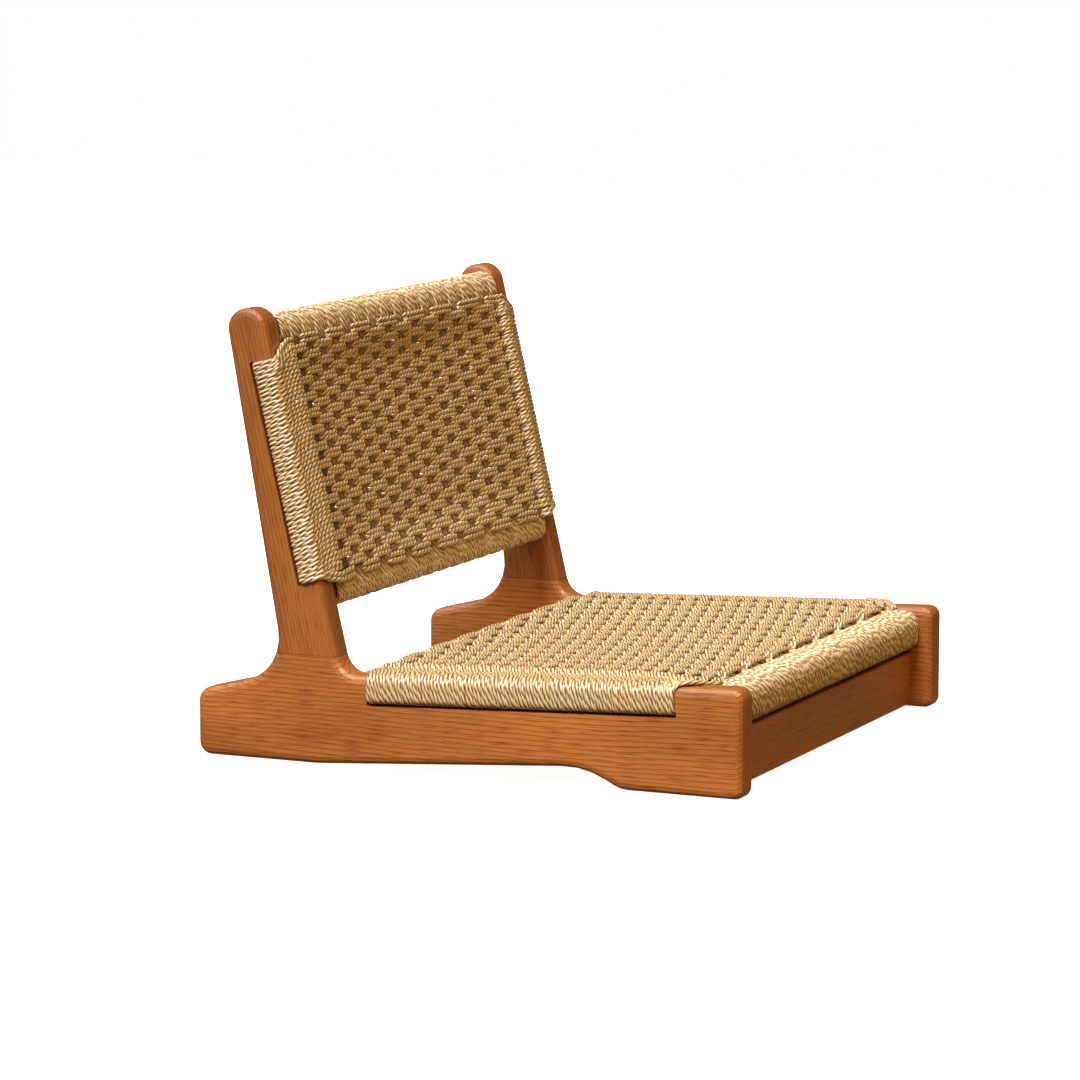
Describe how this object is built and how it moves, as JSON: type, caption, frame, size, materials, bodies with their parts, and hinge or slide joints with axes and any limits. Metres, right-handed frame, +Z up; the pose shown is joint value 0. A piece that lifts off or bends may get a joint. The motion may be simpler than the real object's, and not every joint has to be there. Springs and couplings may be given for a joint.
{
  "type": "legless floor chair",
  "caption": "Low legless floor chair with solid wood side frames and a woven paper cord seat and leaning back",
  "frame": {"origin": "on the floor, midway between the outer faces of the two side frames and midway between the front and rear faces of the runners", "axes": "+X is the sitter's left, -Y is the front that the sitter faces, +Z is up"},
  "size_m": [0.488, 0.487, 0.3749],
  "materials": {
    "wood": "satin oiled hardwood, warm orange brown with fine dark growth lines",
    "dowel_wood": "plain birch dowel, hidden in the joints",
    "cord": "twisted kraft paper cord, natural beige, matt"
  },
  "bodies": {
    "root": {"right_runner": "wood", "left_runner": "wood", "right_back_post": "wood", "left_back_post": "wood", "front_seat_rail": "wood", "rear_seat_rail": "wood", "front_apron": "wood", "back_top_rail": "wood", "back_bottom_rail": "wood", "front_seat_rail_right_dowel_1": "dowel_wood", "front_seat_rail_right_dowel_2": "dowel_wood", "front_seat_rail_left_dowel_1": "dowel_wood", "front_seat_rail_left_dowel_2": "dowel_wood", "rear_seat_rail_right_dowel_1": "dowel_wood", "rear_seat_rail_right_dowel_2": "dowel_wood", "rear_seat_rail_left_dowel_1": "dowel_wood", "rear_seat_rail_left_dowel_2": "dowel_wood", "front_apron_right_dowel_1": "dowel_wood", "front_apron_right_dowel_2": "dowel_wood", "front_apron_left_dowel_1": "dowel_wood", "front_apron_left_dowel_2": "dowel_wood", "back_top_rail_right_dowel_1": "dowel_wood", "back_top_rail_right_dowel_2": "dowel_wood", "back_top_rail_left_dowel_1": "dowel_wood", "back_top_rail_left_dowel_2": "dowel_wood", "back_bottom_rail_right_dowel_1": "dowel_wood", "back_bottom_rail_right_dowel_2": "dowel_wood", "back_bottom_rail_left_dowel_1": "dowel_wood", "back_bottom_rail_left_dowel_2": "dowel_wood", "right_post_dowel_1": "dowel_wood", "right_post_dowel_2": "dowel_wood", "left_post_dowel_1": "dowel_wood", "left_post_dowel_2": "dowel_wood", "seat_weave": "cord", "seat_front_roll": "cord", "seat_rear_roll": "cord", "seat_right_wrap": "cord", "seat_left_wrap": "cord", "back_weave": "cord", "back_top_roll": "cord", "back_bottom_roll": "cord", "back_right_wrap": "cord", "back_left_wrap": "cord"}
  },
  "joints": []
}
